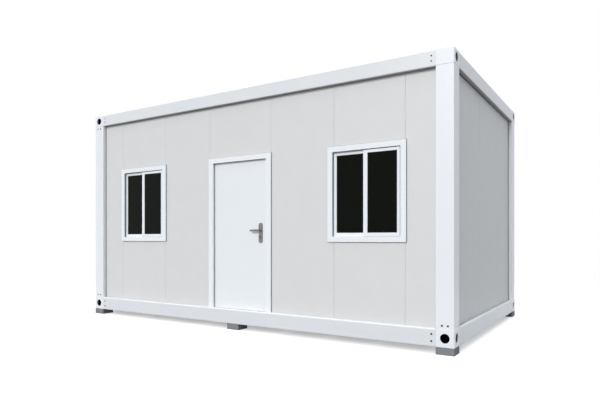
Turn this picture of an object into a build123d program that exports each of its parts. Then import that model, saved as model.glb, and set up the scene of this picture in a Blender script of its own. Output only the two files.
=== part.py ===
"""Portable site cabin: a bolted steel frame with insulated wall panels, one door and two sliding windows.

Millimetres. X runs along the front, Y runs from the front to the back and Z is up. The origin is on the
ground under the middle of the cabin. On each side, places are measured from the frame's lower left corner
as that side is seen from outside: along the side, inwards from the frame's face, and up.
"""
import os
from collections import namedtuple
from math import hypot

from build123d import *

os.makedirs("parts", exist_ok=True)

# Clearances that serve the whole cabin
overrun = 20.0
seat_gap = 0.3
low = (Align.MIN, Align.MIN, Align.MIN)
low_flat = (Align.MIN, Align.MIN)

# Steel frame
frame_length = 5620.0
frame_width = 3240.0
frame_height = 3000.0
corner_size = 190.0
frame_sheet = 4.0
frame_bend = 7.0
frame_set_back = 3.0

# Support feet
foot_size = 190.0
foot_height = 75.0
foot_chamfer = 5.0
middle_foot_offset = -27.0

# Corner fittings
bottom_fitting_height = 180.0
top_fitting_height = 158.0
fitting_wall = 10.0
fitting_chamfer = 4.0
stiffener_turn = 45.0
lifting_hole_radius = 49.0
lifting_hole_rise = 92.0
lifting_hole_drop = 79.0

# Bottom beams
bottom_beam_height = 170.0
ledge_width = 150.0
bottom_flange = 80.0

# Top beams, with the gutter lip and the shelf that carries the roof
top_beam_height = 158.0
ceiling_flange = 150.0
gutter_lip = 60.0
gutter_drop = 52.0
roof_shelf = 125.0

# Walls
wall_recess = 60.0
wall_thickness = 60.0
wall_joint = 0.6
wall_joint_chamfer = 4.0
back_panel_count = 6
end_joint_shares = (0.38, 0.735)
right_window_joint_inset = 62.0

# Floor
deck_thickness = 18.0
deck_gap = 0.5
joist_width = 60.0
joist_sheet = 3.0
joist_pitch = 580.0

# Ceiling and roof
ceiling_thickness = 12.0
ceiling_bearing = 50.0
roof_sheet_thickness = 1.5
roof_rise = 14.0
roof_rib_pitch = 280.0
roof_rib_height = 20.0
roof_rib_crest = 40.0
roof_rib_foot = 70.0
roof_edge_gap = 6.0
ridge_gap = 4.0
ridge_cap_width = 300.0

# Door
door_offset = 38.0
door_frame_width = 1018.0
door_frame_top = 2156.0
jamb_face = 77.0
head_face = 66.0
door_proud = 20.0
door_lap = 8.0
stop_depth = 34.0
leaf_rebate = 14.0
casing_thickness = 6.0
casing_lap = 30.0
threshold_height = 12.0
leaf_thickness = 44.0
leaf_edge_chamfer = 1.0
leaf_seal_gap = 5.0
leaf_hinge_gap = 5.0
leaf_latch_gap = 7.0
leaf_head_gap = 5.0
leaf_floor_gap = 6.0

# Lift-off hinges
hinge_height_shares = (0.13, 0.5, 0.87)
hinge_barrel_radius = 8.0
hinge_barrel_length = 50.0
hinge_pin_radius = 5.0
hinge_pin_length = 38.0
hinge_pin_clearance = 0.1
hinge_lift_gap = 0.5
hinge_plate_width = 36.0
hinge_plate_bite = 1.5
hinge_stand_off = 9.0

# Lever handle
handle_backset = 108.0
lever_height = 1196.0
plate_length = 254.0
plate_width = 60.0
plate_thickness = 9.0
plate_chamfer = 2.0
plate_turn = 90.0
plate_top_above_lever = 96.0
lever_neck_radius = 10.0
lever_reach = 58.0
lever_length = 140.0
lever_arm_thickness = 13.0
lever_root_radius = 13.0
lever_tip_radius = 11.0
lever_arm_chamfer = 2.5
lever_clearance = 0.3
spindle_radius = 5.5
cylinder_drop = 86.0
cylinder_radius = 8.5
cylinder_proud = 3.0

# Sliding windows
left_window_centre = 1049.0
right_window_from_right = 990.0
window_width = 945.0
window_height = 1086.0
window_sill = 1056.0
window_face = 62.0
window_proud = 20.0
window_lap = 15.0
window_casing = 6.0
sash_member = 40.0
sash_meeting = 50.0
sash_depth = 22.0
sash_set_back = 10.0
sash_track_gap = 3.0
track_rib_height = 8.0
glass_thickness = 16.0
glass_bite = 8.0

Opening = namedtuple("Opening", "left right bottom top")


def side_plane(corner_x, corner_y, along):
    """Frame of one side: x along the side as seen from outside, y inwards, z up from the frame's bottom."""
    return Plane((corner_x, corner_y, foot_height), x_dir=along, z_dir=(0, 0, 1))


half_length = frame_length / 2
half_width = frame_width / 2
front = side_plane(-half_length, -half_width, (1, 0, 0))
right = side_plane(half_length, -half_width, (0, 1, 0))
back = side_plane(half_length, half_width, (-1, 0, 0))
left = side_plane(-half_length, half_width, (0, -1, 0))
sides = {"front": front, "right": right, "back": back, "left": left}
side_runs = {"front": frame_length, "right": frame_width, "back": frame_length, "left": frame_width}


def section_plane(side, start, height):
    """Plane across a side at a distance along it: x inwards, y up, and its normal along the side."""
    return Plane(side.from_local_coords(Vector(start, 0, height)), x_dir=side.y_dir, z_dir=side.x_dir)


def elevation_plane(side, along, depth, height):
    """Upright plane that faces outwards: x along the side, y up."""
    return Plane(side.from_local_coords(Vector(along, depth, height)), x_dir=side.x_dir, z_dir=-side.y_dir)


def save(part, name):
    """Label a finished piece and write it."""
    part.label = name
    export_step(part, f"parts/{name}.step")


# Support feet: six cast blocks under the corners and under the middle of the long sides
foot_x = half_length - foot_size / 2
foot_y = half_width - foot_size / 2
foot_places = [(x, y) for x in (-foot_x, middle_foot_offset, foot_x) for y in (-foot_y, foot_y)]
with BuildPart() as support_feet:
    with BuildSketch():
        with Locations(*foot_places):
            Rectangle(foot_size, foot_size)
    extrude(amount=foot_height)
    chamfer(support_feet.edges().filter_by(Axis.Z), length=foot_chamfer)
save(support_feet.part, "support_feet")


# Corner fittings: hollow steel boxes with a round lifting hole in each outer face and a diagonal stiffener,
# so that each hole opens into a pocket of its own
def corner_fittings(base, height, hole_height, plain_end):
    """Four fittings at one level; the corner named plain_end has no hole in its second face."""
    cavity_size = corner_size - 2 * fitting_wall
    cavity_height = height - 2 * fitting_wall
    stiffener_length = hypot(cavity_size, cavity_size) + fitting_wall
    stiffener_align = (Align.CENTER, Align.CENTER, Align.MIN)
    hole_place = corner_size / 2
    with BuildPart() as fittings:
        with Locations(*[side.offset(base) for side in sides.values()]):
            Box(corner_size, corner_size, height, align=low)
        chamfer(fittings.edges(), length=fitting_chamfer)
        with Locations(*[side.offset(base + fitting_wall) for side in sides.values()]):
            with Locations((fitting_wall, fitting_wall)):
                Box(cavity_size, cavity_size, cavity_height, align=low, mode=Mode.SUBTRACT)
            with Locations(Location((hole_place, hole_place, 0), (0, 0, stiffener_turn))):
                Box(stiffener_length, fitting_wall, cavity_height, align=stiffener_align)
        for name, side in sides.items():
            face_centre = side.from_local_coords(Vector(hole_place, 0, base + hole_height))
            with Locations(Plane(face_centre, x_dir=side.x_dir, z_dir=-side.y_dir)):
                Hole(lifting_hole_radius, depth=fitting_wall + overrun)
            if name != plain_end:
                end_centre = side.from_local_coords(Vector(0, hole_place, base + hole_height))
                with Locations(Plane(end_centre, x_dir=side.y_dir, z_dir=-side.x_dir)):
                    Hole(lifting_hole_radius, depth=fitting_wall + overrun)
    return fittings.part


top_fitting_base = frame_height - top_fitting_height
top_hole_height = top_fitting_height - lifting_hole_drop
save(corner_fittings(0, bottom_fitting_height, lifting_hole_rise, None), "bottom_corner_fittings")
save(corner_fittings(top_fitting_base, top_fitting_height, top_hole_height, "right"), "top_corner_fittings")


# Bottom beams: folded channels open to the inside, with a wide top flange as the wall's ledge
web_inside = frame_set_back + frame_sheet


def bottom_beam(side, run):
    channel_height = bottom_beam_height - 2 * frame_sheet
    with BuildPart() as beam:
        with BuildSketch(section_plane(side, corner_size, 0)) as section:
            with Locations((frame_set_back, 0)):
                Rectangle(ledge_width - frame_set_back, bottom_beam_height, align=low_flat)
            with Locations((web_inside, frame_sheet)):
                Rectangle(ledge_width, channel_height, align=low_flat, mode=Mode.SUBTRACT)
            with Locations((bottom_flange, 0)):
                Rectangle(ledge_width, frame_sheet, align=low_flat, mode=Mode.SUBTRACT)
            fillet(section.vertices().group_by(Axis.X)[0], radius=frame_bend)
        extrude(amount=run - 2 * corner_size)
    return beam.part


# Top beams: folded sheet with a ceiling flange, the outer web, a gutter lip and a shelf for the roof
def top_beam(side, run):
    lip_inside = gutter_lip - frame_sheet
    web_top = top_beam_height - frame_sheet
    shelf_under = top_beam_height - gutter_drop
    shelf_top = shelf_under + frame_sheet
    with BuildPart() as beam:
        with BuildSketch(section_plane(side, corner_size, frame_height - top_beam_height)) as section:
            with BuildLine():
                Polyline(
                    (frame_set_back, 0),
                    (ceiling_flange, 0),
                    (ceiling_flange, frame_sheet),
                    (web_inside, frame_sheet),
                    (web_inside, web_top),
                    (lip_inside, web_top),
                    (lip_inside, shelf_under),
                    (roof_shelf, shelf_under),
                    (roof_shelf, shelf_top),
                    (gutter_lip, shelf_top),
                    (gutter_lip, top_beam_height),
                    (frame_set_back, top_beam_height),
                    close=True,
                )
            make_face()
            fillet(section.vertices().group_by(Axis.X)[0], radius=frame_bend)
        extrude(amount=run - 2 * corner_size)
    return beam.part


for side_name, side in sides.items():
    save(bottom_beam(side, side_runs[side_name]), f"bottom_{side_name}_beam")
    save(top_beam(side, side_runs[side_name]), f"top_{side_name}_beam")


# Corner posts: closed folded sections, L-shaped so that the room's corners stay free
wall_inside = wall_recess + wall_thickness


def corner_post(side):
    with BuildPart() as post:
        with BuildSketch(side.offset(bottom_fitting_height)) as section:
            with BuildLine():
                Polyline(
                    (frame_set_back, frame_set_back),
                    (corner_size, frame_set_back),
                    (corner_size, wall_inside),
                    (wall_inside, wall_inside),
                    (wall_inside, corner_size),
                    (frame_set_back, corner_size),
                    close=True,
                )
            make_face()
            fillet(section.vertices().group_by(Axis.X)[0], radius=frame_bend)
            fillet(section.vertices().group_by(Axis.X)[-1].sort_by(Axis.Y)[0], radius=frame_bend)
            offset(amount=-frame_sheet, mode=Mode.SUBTRACT)
        extrude(amount=top_fitting_base - bottom_fitting_height)
    return post.part


save(corner_post(front), "front_left_post")
save(corner_post(right), "front_right_post")
save(corner_post(back), "back_right_post")
save(corner_post(left), "back_left_post")


# Floor joists: channels that stand on the bottom flanges of the long beams
joist_height = bottom_beam_height - deck_thickness - frame_sheet
joist_span = frame_length - 2 * (corner_size + joist_width)
joist_count = int(joist_span // joist_pitch) + 1
joist_length = frame_width - 2 * (web_inside + seat_gap)
joist_plane = Plane((0, joist_length / 2, foot_height + frame_sheet), x_dir=(1, 0, 0), z_dir=(0, -1, 0))
with BuildPart() as floor_joists:
    with BuildSketch(joist_plane):
        with GridLocations(joist_span / (joist_count - 1), 0, joist_count, 1):
            Rectangle(joist_width, joist_height, align=(Align.CENTER, Align.MIN))
            with Locations((joist_sheet, joist_sheet)):
                Rectangle(
                    joist_width,
                    joist_height - 2 * joist_sheet,
                    align=(Align.CENTER, Align.MIN),
                    mode=Mode.SUBTRACT,
                )
    extrude(amount=joist_length)
save(floor_joists.part, "floor_joists")


# Floor deck: boards on the joists, level with the ledge, cut round the corner fittings
corner_notch = corner_size + deck_gap
deck_level = foot_height + bottom_beam_height - deck_thickness
with BuildPart() as floor_deck:
    with BuildSketch(Plane.XY.offset(deck_level)):
        Rectangle(frame_length - 2 * (ledge_width + deck_gap), frame_width - 2 * (ledge_width + deck_gap))
        with GridLocations(frame_length - corner_notch, frame_width - corner_notch, 2, 2):
            Rectangle(corner_notch, corner_notch, mode=Mode.SUBTRACT)
    extrude(amount=deck_thickness)
save(floor_deck.part, "floor_deck")


# Ceiling: a flat lining laid on the flanges of the top beams
ceiling_edge = ceiling_flange - ceiling_bearing
ceiling_level = foot_height + frame_height - top_beam_height + frame_sheet
with BuildPart() as ceiling:
    with BuildSketch(Plane.XY.offset(ceiling_level)):
        Rectangle(frame_length - 2 * ceiling_edge, frame_width - 2 * ceiling_edge)
        with GridLocations(frame_length - corner_notch, frame_width - corner_notch, 2, 2):
            Rectangle(corner_notch, corner_notch, mode=Mode.SUBTRACT)
    extrude(amount=ceiling_thickness)
save(ceiling.part, "ceiling")


# Roof sheet: ribbed steel in two slopes that fall from the ridge to the long gutters
roof_level = foot_height + frame_height - gutter_drop + frame_sheet
roof_length = frame_length - 2 * (gutter_lip + roof_edge_gap)
roof_slope_run = half_width - gutter_lip - roof_edge_gap - ridge_gap / 2
rib_count = int(roof_length // roof_rib_pitch)
rib_step = roof_length / rib_count


def rib_outline(lift):
    """Points of the ribbed outline from end to end, raised by lift."""
    points = [(-roof_length / 2, lift)]
    for number in range(rib_count):
        middle = -roof_length / 2 + rib_step * (number + 1 / 2)
        points.append((middle - roof_rib_foot / 2, lift))
        points.append((middle - roof_rib_crest / 2, lift + roof_rib_height))
        points.append((middle + roof_rib_crest / 2, lift + roof_rib_height))
        points.append((middle + roof_rib_foot / 2, lift))
    points.append((roof_length / 2, lift))
    return points


with BuildPart() as roof_sheet:
    for slope_side in (-1, 1):
        eave_y = slope_side * (half_width - gutter_lip - roof_edge_gap)
        eave = Plane((0, eave_y, roof_level), x_dir=(1, 0, 0), z_dir=(0, -1, 0))
        with BuildSketch(eave) as rib_section:
            with BuildLine():
                Polyline(*rib_outline(0), *reversed(rib_outline(roof_sheet_thickness)), close=True)
            make_face()
        fall = Vector(0, -slope_side * roof_slope_run, roof_rise)
        extrude(rib_section.sketch, amount=fall.length, dir=fall.normalized())
    with Locations(*[side.offset(0) for side in sides.values()]):
        Box(corner_notch, corner_notch, frame_height + overrun, align=low, mode=Mode.SUBTRACT)
save(roof_sheet.part, "roof_sheet")

ridge_slope = roof_rise / roof_slope_run
crest_level = roof_level + roof_sheet_thickness + roof_rib_height + roof_rise
cap_half = ridge_cap_width / 2
cap_edge = -ridge_slope * cap_half
cap_top = ridge_slope * ridge_gap / 2
with BuildPart() as ridge_cap:
    with BuildSketch(Plane((-roof_length / 2, 0, crest_level), x_dir=(0, 1, 0), z_dir=(1, 0, 0))):
        with BuildLine():
            Polyline(
                (-cap_half, cap_edge + cap_top),
                (0, cap_top),
                (cap_half, cap_edge + cap_top),
                (cap_half, cap_edge + cap_top + roof_sheet_thickness),
                (0, cap_top + roof_sheet_thickness),
                (-cap_half, cap_edge + cap_top + roof_sheet_thickness),
                close=True,
            )
        make_face()
    extrude(amount=roof_length)
save(ridge_cap.part, "roof_ridge_cap")


# Openings in the front wall
door_centre = half_length + door_offset
door_half = door_frame_width / 2
door_opening = Opening(
    door_centre - door_half + door_lap,
    door_centre + door_half - door_lap,
    bottom_beam_height,
    door_frame_top - door_lap,
)
window_top = window_sill + window_height


def window_opening(centre):
    return Opening(
        centre - window_width / 2 + window_lap,
        centre + window_width / 2 - window_lap,
        window_sill + window_lap,
        window_top - window_lap,
    )


right_window_centre = frame_length - right_window_from_right
left_window_opening = window_opening(left_window_centre)
right_window_opening = window_opening(right_window_centre)
front_openings = (left_window_opening, door_opening, right_window_opening)


# Wall panels: insulated boards that stand on the ledge, with a fine V joint between neighbours
wall_height = frame_height - top_beam_height - bottom_beam_height


def wall_panel(side, start, end, openings=()):
    with BuildPart() as panel:
        with BuildSketch(side.offset(bottom_beam_height)) as plan:
            with Locations((start + wall_joint / 2, wall_recess)):
                Rectangle(end - start - wall_joint, wall_thickness, align=low_flat)
            chamfer(plan.vertices(), length=wall_joint_chamfer)
        extrude(amount=wall_height)
        for hole in openings:
            with Locations(side):
                with Locations((hole.left - wall_joint / 2, wall_recess - overrun, hole.bottom)):
                    Box(
                        hole.right - hole.left + wall_joint,
                        wall_thickness + 2 * overrun,
                        hole.top - hole.bottom,
                        align=low,
                        mode=Mode.SUBTRACT,
                    )
    return panel.part


front_joints = (
    corner_size,
    left_window_opening.left,
    left_window_opening.right,
    door_opening.left,
    door_opening.right,
    right_window_opening.left + right_window_joint_inset,
    right_window_opening.right,
    frame_length - corner_size,
)
front_panel_names = (
    "front_left_end_panel",
    "left_window_panels",
    "front_left_plain_panel",
    "over_door_panel",
    "front_right_plain_panel",
    "right_window_panels",
    "front_right_end_panel",
)
for panel_name, start, end in zip(front_panel_names, front_joints, front_joints[1:]):
    crossed = [hole for hole in front_openings if hole.left < end and start < hole.right]
    save(wall_panel(front, start, end, crossed), panel_name)


def plain_wall(side, run, joint_shares):
    """A wall without openings between two posts; the shares place its inner joints."""
    clear_run = run - 2 * corner_size
    joints = [corner_size + share * clear_run for share in (0, *joint_shares, 1)]
    return Compound([wall_panel(side, start, end) for start, end in zip(joints, joints[1:])])


back_joint_shares = [number / back_panel_count for number in range(1, back_panel_count)]
save(plain_wall(back, frame_length, back_joint_shares), "back_wall_panels")
save(plain_wall(left, frame_width, end_joint_shares), "left_wall_panels")
save(plain_wall(right, frame_width, end_joint_shares), "right_wall_panels")


# Door frame: two jambs and a head with a stop on the outside and a casing on the room side
door_face_depth = wall_recess - door_proud
stop_back = door_face_depth + stop_depth
casing_back = wall_inside + casing_thickness
head_under = door_frame_top - head_face
door_ground = Plane(front.from_local_coords(Vector(door_centre, 0, bottom_beam_height)))


def door_jamb(hand):
    """Jamb on one hand: -1 is the hinge side on the left, 1 is the latch side."""
    outer = hand * door_half
    body = hand * (door_half - door_lap)
    stop = hand * (door_half - jamb_face)
    rebate = hand * (door_half - jamb_face + leaf_rebate)
    casing = hand * (door_half - door_lap + casing_lap)
    with BuildPart() as jamb:
        with BuildSketch(door_ground):
            with BuildLine():
                Polyline(
                    (outer, door_face_depth),
                    (stop, door_face_depth),
                    (stop, stop_back),
                    (rebate, stop_back),
                    (rebate, casing_back),
                    (casing, casing_back),
                    (casing, wall_inside),
                    (body, wall_inside),
                    (body, wall_recess),
                    (outer, wall_recess),
                    close=True,
                )
            make_face()
        extrude(amount=head_under - bottom_beam_height)
    return jamb.part


save(door_jamb(-1), "door_left_jamb")
save(door_jamb(1), "door_right_jamb")

head_body_width = door_frame_width - 2 * door_lap
head_casing_width = head_body_width + 2 * casing_lap
head_middle = (Align.CENTER, Align.MIN)
with BuildPart() as door_head:
    with BuildSketch(elevation_plane(front, door_centre, door_face_depth, head_under)):
        Rectangle(door_frame_width, head_face, align=head_middle)
    extrude(amount=-door_proud)
    with BuildSketch(elevation_plane(front, door_centre, wall_recess, head_under)):
        Rectangle(head_body_width, head_face - door_lap, align=head_middle)
    extrude(amount=wall_recess - stop_back)
    with BuildSketch(elevation_plane(front, door_centre, stop_back, head_under + leaf_rebate)):
        Rectangle(head_body_width, head_face - door_lap - leaf_rebate, align=head_middle)
    extrude(amount=stop_back - casing_back)
    with BuildSketch(elevation_plane(front, door_centre, wall_inside, head_under + leaf_rebate)):
        Rectangle(head_casing_width, head_face - door_lap - leaf_rebate + casing_lap, align=head_middle)
    extrude(amount=-casing_thickness)
save(door_head.part, "door_head")

threshold_width = door_frame_width - 2 * jamb_face
with BuildPart() as door_threshold:
    with BuildSketch(door_ground):
        with Locations((0, door_face_depth)):
            Rectangle(threshold_width, wall_inside - door_face_depth, align=head_middle)
    extrude(amount=threshold_height)
    threshold_nose = door_threshold.faces().sort_by(Axis.Z)[-1].edges().sort_by(Axis.Y)[0]
    chamfer(threshold_nose, length=threshold_height / 2)
save(door_threshold.part, "door_threshold")


# Door leaf: a flush steel door that closes against the stop from the room side
leaf_left = door_centre - door_half + jamb_face - leaf_rebate + leaf_hinge_gap
leaf_right = door_centre + door_half - jamb_face + leaf_rebate - leaf_latch_gap
leaf_bottom = bottom_beam_height + threshold_height + leaf_floor_gap
leaf_top = head_under + leaf_rebate - leaf_head_gap
leaf_front = stop_back + leaf_seal_gap
leaf_back = leaf_front + leaf_thickness
leaf_width = leaf_right - leaf_left
spindle_place = leaf_right - handle_backset
spindle_bore = spindle_radius + lever_clearance
cylinder_height = lever_height - cylinder_drop
with BuildPart() as door_leaf:
    with BuildSketch(elevation_plane(front, leaf_left, leaf_front, leaf_bottom)):
        Rectangle(leaf_width, leaf_top - leaf_bottom, align=low_flat)
    extrude(amount=-leaf_thickness)
    chamfer(door_leaf.edges(), length=leaf_edge_chamfer)
    with Locations(elevation_plane(front, spindle_place, leaf_front, lever_height)):
        Hole(spindle_bore)
    with Locations(elevation_plane(front, spindle_place, leaf_front, cylinder_height)):
        Hole(cylinder_radius)
save(door_leaf.part, "door_leaf")


# Lift-off hinges: a pinned barrel on the casing and a sleeve on the leaf
hinge_along = leaf_left - leaf_hinge_gap / 2
hinge_depth = casing_back + hinge_stand_off
hinge_plate_back = hinge_depth - hinge_barrel_radius + hinge_plate_bite
hinge_heights = [leaf_bottom + share * (leaf_top - leaf_bottom) for share in hinge_height_shares]
with BuildPart() as hinge_pins:
    for height in hinge_heights:
        barrel_foot = Vector(hinge_along, hinge_depth, height - hinge_barrel_length)
        barrel_plane = Plane(front.from_local_coords(barrel_foot))
        with BuildSketch(barrel_plane):
            Circle(hinge_barrel_radius)
            with Locations((0, casing_back - hinge_depth)):
                Rectangle(
                    hinge_plate_width,
                    hinge_plate_back - casing_back,
                    align=(Align.MAX, Align.MIN),
                )
        extrude(amount=hinge_barrel_length)
        with BuildSketch(barrel_plane.offset(hinge_barrel_length)):
            Circle(hinge_pin_radius)
        extrude(amount=hinge_pin_length)
save(hinge_pins.part, "door_hinge_pins")

sleeve_bore_depth = hinge_pin_length + hinge_lift_gap
with BuildPart() as hinge_sleeves:
    for height in hinge_heights:
        sleeve_foot = Vector(hinge_along, hinge_depth, height + hinge_lift_gap)
        sleeve_plane = Plane(front.from_local_coords(sleeve_foot))
        with BuildSketch(sleeve_plane):
            Circle(hinge_barrel_radius)
            with Locations((0, leaf_back - hinge_depth)):
                Rectangle(
                    hinge_plate_width,
                    hinge_plate_back - leaf_back,
                    align=(Align.MIN, Align.MIN),
                )
        extrude(amount=hinge_barrel_length)
        with BuildSketch(sleeve_plane):
            Circle(hinge_pin_radius + hinge_pin_clearance)
        extrude(amount=sleeve_bore_depth, mode=Mode.SUBTRACT)
save(hinge_sleeves.part, "door_hinge_sleeves")


# Handle plates: long plates with round ends on both faces of the leaf
plate_top = lever_height + plate_top_above_lever
plate_middle = plate_top - plate_length / 2
with BuildPart() as handle_plates:
    for face_depth, outward in ((leaf_front, 1), (leaf_back, -1)):
        with BuildSketch(elevation_plane(front, spindle_place, face_depth, plate_middle)):
            SlotOverall(plate_length, plate_width, rotation=plate_turn)
            with Locations((0, lever_height - plate_middle)):
                Circle(lever_neck_radius + lever_clearance, mode=Mode.SUBTRACT)
            with Locations((0, cylinder_height - plate_middle)):
                Circle(cylinder_radius, mode=Mode.SUBTRACT)
        extrude(amount=outward * plate_thickness)
    plate_rims = handle_plates.faces().filter_by(Axis.Y).sort_by(Axis.Y)
    chamfer(plate_rims[0].outer_wire().edges(), length=plate_chamfer)
    plate_rims = handle_plates.faces().filter_by(Axis.Y).sort_by(Axis.Y)
    chamfer(plate_rims[-1].outer_wire().edges(), length=plate_chamfer)
save(handle_plates.part, "door_handle_plates")

cylinder_length = leaf_thickness + 2 * (plate_thickness + cylinder_proud)
cylinder_front = leaf_front - plate_thickness - cylinder_proud
with BuildPart() as lock_cylinder:
    with BuildSketch(elevation_plane(front, spindle_place, cylinder_front, cylinder_height)):
        Circle(cylinder_radius)
    extrude(amount=-cylinder_length)
save(lock_cylinder.part, "door_lock_cylinder")


# Levers: two tapered flat arms on round necks, joined by the spindle that passes through the leaf
lever_neck_length = lever_reach - lever_arm_thickness - lever_clearance
with BuildPart() as door_levers:
    for face_depth, outward in ((leaf_front, 1), (leaf_back, -1)):
        face_plane = elevation_plane(front, spindle_place, face_depth, lever_height)
        with BuildSketch(face_plane.offset(outward * lever_reach)):
            Circle(lever_root_radius)
            with Locations((lever_tip_radius - lever_length, 0)):
                Circle(lever_tip_radius)
            make_hull()
        extrude(amount=-outward * lever_arm_thickness)
    chamfer(door_levers.faces().filter_by(Axis.Y).edges(), length=lever_arm_chamfer)
    for face_depth, outward in ((leaf_front, 1), (leaf_back, -1)):
        face_plane = elevation_plane(front, spindle_place, face_depth, lever_height)
        with BuildSketch(face_plane.offset(outward * lever_clearance)):
            Circle(lever_neck_radius)
        extrude(amount=outward * lever_neck_length)
    with BuildSketch(elevation_plane(front, spindle_place, leaf_front, lever_height).offset(lever_clearance)):
        Circle(spindle_radius)
    extrude(amount=-(leaf_thickness + 2 * lever_clearance))
save(door_levers.part, "door_levers")


# Sliding windows: an outer frame with a flange on the wall, two sashes on their tracks and their panes
window_face_depth = wall_recess - window_proud
window_middle = window_sill + window_height / 2
window_clear_width = window_width - 2 * window_face
window_clear_height = window_height - 2 * window_face
sash_width = (window_clear_width + sash_meeting) / 2 - seat_gap
sash_height = window_clear_height - 2 * seat_gap
sash_offset = (window_clear_width - sash_width) / 2 - seat_gap
front_track = window_face_depth + sash_set_back
rear_track = front_track + sash_depth + sash_track_gap
pane_width = sash_width - sash_member - sash_meeting
pane_height = sash_height - 2 * sash_member
pane_shift = (sash_meeting - sash_member) / 2
glass_width = pane_width + 2 * glass_bite
glass_height = pane_height + 2 * glass_bite
glass_inset = (sash_depth - glass_thickness) / 2
sash_tracks = ((1, front_track), (-1, rear_track))


def window_frame(centre):
    body_width = window_width - 2 * window_lap
    body_height = window_height - 2 * window_lap
    with BuildPart() as frame:
        with BuildSketch(elevation_plane(front, centre, window_face_depth, window_middle)):
            Rectangle(window_width, window_height)
        extrude(amount=-window_proud)
        with BuildSketch(elevation_plane(front, centre, wall_recess, window_middle)):
            Rectangle(body_width, body_height)
        extrude(amount=-(wall_thickness + window_casing))
        with BuildSketch(elevation_plane(front, centre, window_face_depth - overrun, window_middle)):
            Rectangle(window_clear_width, window_clear_height)
        extrude(amount=-(wall_inside + 2 * overrun), mode=Mode.SUBTRACT)
        with BuildSketch(elevation_plane(front, centre, rear_track - seat_gap, window_middle)):
            Rectangle(window_clear_width, window_clear_height)
            Rectangle(
                window_clear_width - 2 * track_rib_height,
                window_clear_height - 2 * track_rib_height,
                mode=Mode.SUBTRACT,
            )
        extrude(amount=sash_track_gap - 2 * seat_gap)
    return frame.part


def window_sashes(centre):
    with BuildPart() as sashes:
        for hand, track in sash_tracks:
            sash_centre = centre + hand * sash_offset
            with BuildSketch(elevation_plane(front, sash_centre, track, window_middle)):
                Rectangle(sash_width, sash_height)
                with Locations((hand * pane_shift, 0)):
                    Rectangle(pane_width, pane_height, mode=Mode.SUBTRACT)
            extrude(amount=-sash_depth)
            with BuildSketch(elevation_plane(front, sash_centre, track + glass_inset, window_middle)):
                with Locations((hand * pane_shift, 0)):
                    Rectangle(glass_width, glass_height)
            extrude(amount=-glass_thickness, mode=Mode.SUBTRACT)
    return sashes.part


def window_glass(centre):
    glass_edge = 2 * seat_gap
    with BuildPart() as glass:
        for hand, track in sash_tracks:
            sash_centre = centre + hand * sash_offset
            with BuildSketch(elevation_plane(front, sash_centre, track + glass_inset, window_middle)):
                with Locations((hand * pane_shift, 0)):
                    Rectangle(glass_width - glass_edge, glass_height - glass_edge)
            extrude(amount=-glass_thickness)
    return glass.part


for window_name, centre in (("left", left_window_centre), ("right", right_window_centre)):
    save(window_frame(centre), f"{window_name}_window_frame")
    save(window_sashes(centre), f"{window_name}_window_sashes")
    save(window_glass(centre), f"{window_name}_window_glass")
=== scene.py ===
import math

import bpy
from mathutils import Matrix, Vector


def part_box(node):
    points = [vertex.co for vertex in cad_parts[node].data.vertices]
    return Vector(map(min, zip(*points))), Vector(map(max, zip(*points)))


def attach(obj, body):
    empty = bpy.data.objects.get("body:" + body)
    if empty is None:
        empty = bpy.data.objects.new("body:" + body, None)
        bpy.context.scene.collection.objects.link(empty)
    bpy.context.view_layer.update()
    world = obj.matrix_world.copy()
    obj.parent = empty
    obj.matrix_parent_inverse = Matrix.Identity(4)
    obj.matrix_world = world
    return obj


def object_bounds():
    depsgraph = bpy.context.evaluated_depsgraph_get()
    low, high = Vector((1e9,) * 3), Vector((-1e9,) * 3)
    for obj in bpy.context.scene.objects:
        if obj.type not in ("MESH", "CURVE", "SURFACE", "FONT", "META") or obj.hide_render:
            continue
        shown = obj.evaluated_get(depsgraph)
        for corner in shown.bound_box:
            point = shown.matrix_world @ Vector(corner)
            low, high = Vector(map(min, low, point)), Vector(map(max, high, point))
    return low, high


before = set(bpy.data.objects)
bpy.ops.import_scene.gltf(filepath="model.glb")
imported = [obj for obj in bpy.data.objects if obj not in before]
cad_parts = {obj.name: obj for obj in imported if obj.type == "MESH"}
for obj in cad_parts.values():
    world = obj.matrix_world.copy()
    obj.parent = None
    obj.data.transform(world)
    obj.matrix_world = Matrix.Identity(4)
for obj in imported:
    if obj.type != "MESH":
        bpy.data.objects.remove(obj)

cad_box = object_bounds()

# Support feet: six square blocks cast in plain grey concrete. The corners of the cabin and the middles of
# its long sides stand on them, and only the weight holds them.
foot_dark = (0.190, 0.196, 0.209, 1)
foot_light = (0.284, 0.292, 0.308, 1)
foot_roughness = 0.9
foot_gloss = 0.05
foot_cloud_scale = 11.0
foot_cloud_detail = 8.0
foot_cloud_roughness = 0.65
foot_pit_scale = 85.0
foot_pit_edge = 0.22
foot_pit_depth = 0.0015


def new_finish(name, roughness):
    """A material for one finish of the cabin, with its node tree and its shader."""
    finish = bpy.data.materials.new(name)
    finish.use_nodes = True
    shader = finish.node_tree.nodes["Principled BSDF"]
    shader.inputs["Roughness"].default_value = roughness
    return finish, finish.node_tree, shader


def set_inputs(node, values):
    """Sets a node's named inputs; an underscore stands for a space in the name."""
    for socket_name, value in values.items():
        node.inputs[socket_name.replace("_", " ")].default_value = value


def place_node(tree, kind, **values):
    """Adds a node with its values."""
    node = tree.nodes.new(kind)
    set_inputs(node, values)
    return node


def lay_pattern(tree, kind, **values):
    """Adds a node that works on a piece's own coordinates, such as a pattern that lies over it."""
    pattern = place_node(tree, kind, **values)
    coords = tree.nodes.new("ShaderNodeTexCoord").outputs["Object"]
    tree.links.new(coords, pattern.inputs["Vector"])
    return pattern


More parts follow.
